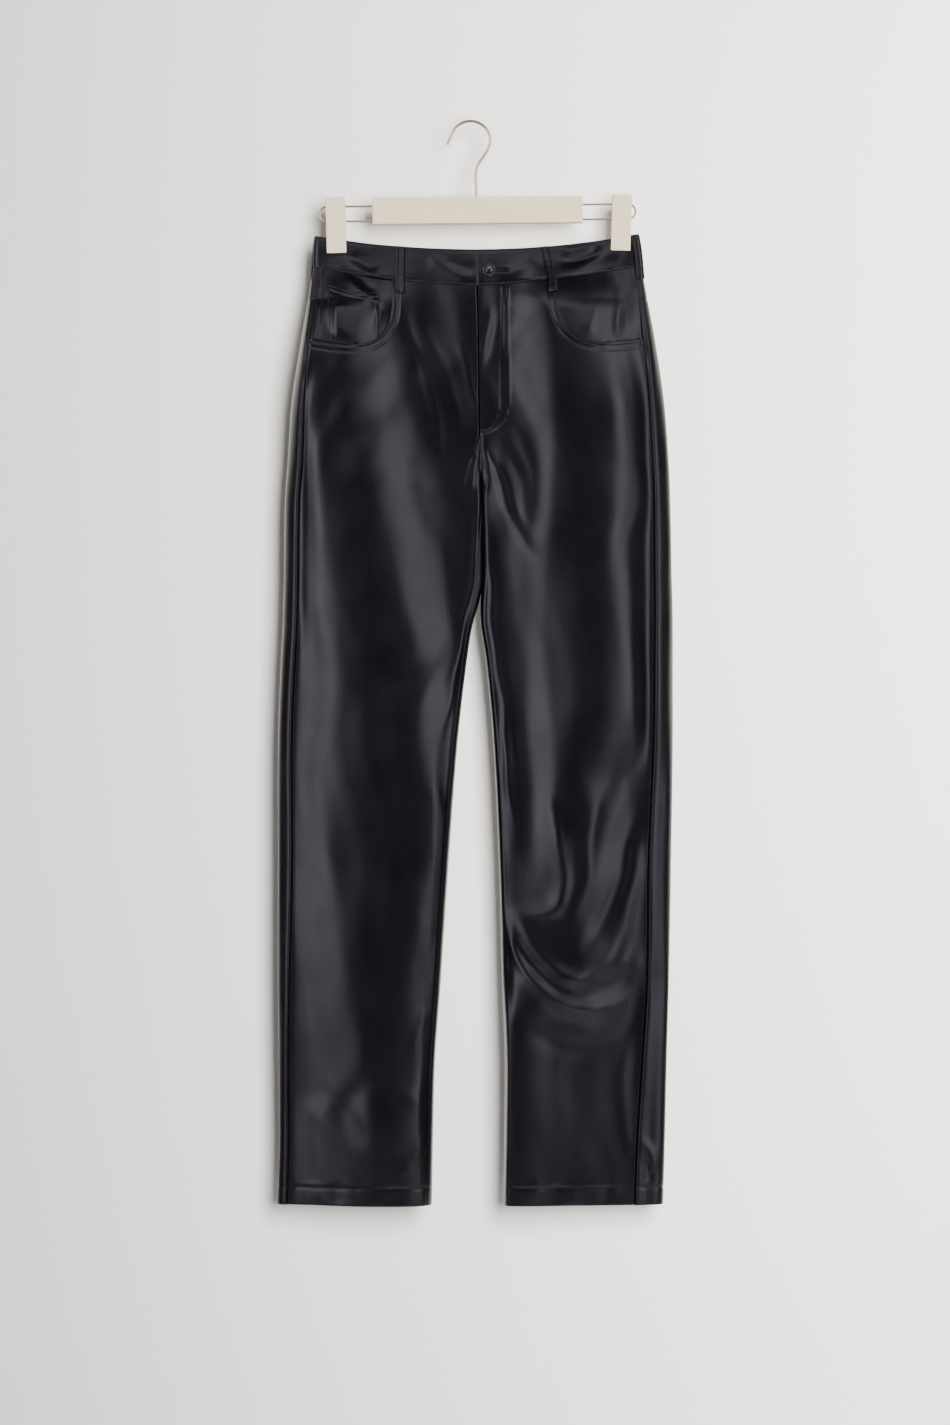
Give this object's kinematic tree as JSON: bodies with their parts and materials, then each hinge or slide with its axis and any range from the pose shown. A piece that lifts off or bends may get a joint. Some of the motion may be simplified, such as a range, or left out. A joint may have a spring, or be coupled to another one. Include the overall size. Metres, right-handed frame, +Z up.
{
  "type": "faux leather trousers on a clip hanger",
  "caption": "Straight faux leather trousers hanging by the waistband from a clip hanger, hollow waist and legs open at the hems.",
  "frame": {"origin": "inner top of the hanger's hook, where a rail or peg carries it", "axes": "+Z up, the garment's front faces -Y, the wearer's left is +X"},
  "size_m": [0.4244, 0.0721, 1.1657],
  "materials": {
    "faux_leather": "near-black PU-coated faux leather with a satin sheen and fine grain",
    "dark_nickel": "polished dark nickel plating",
    "hanger_plastic": "moulded off-white plastic",
    "hanger_wire": "off-white coated steel wire"
  },
  "bodies": {
    "root": {"front_left": "faux_leather", "front_right": "faux_leather", "back_left": "faux_leather", "back_right": "faux_leather", "yoke_left": "faux_leather", "yoke_right": "faux_leather", "waistband_left": "faux_leather", "waistband_right": "faux_leather", "pocket_facing_left": "faux_leather", "pocket_facing_right": "faux_leather", "coin_pocket": "faux_leather", "belt_loop_front_left": "faux_leather", "belt_loop_front_right": "faux_leather", "belt_loop_side_left": "faux_leather", "belt_loop_side_right": "faux_leather", "belt_loop_back": "faux_leather", "button": "dark_nickel", "hanger_hook": "hanger_wire", "hanger_wire_left": "hanger_wire", "hanger_wire_right": "hanger_wire", "hanger_bar": "hanger_plastic", "clip_core_left": "hanger_plastic", "clip_core_right": "hanger_plastic", "clip_jaw_front_left": "hanger_plastic", "clip_jaw_front_right": "hanger_plastic", "clip_jaw_back_left": "hanger_plastic", "clip_jaw_back_right": "hanger_plastic"}
  },
  "joints": []
}
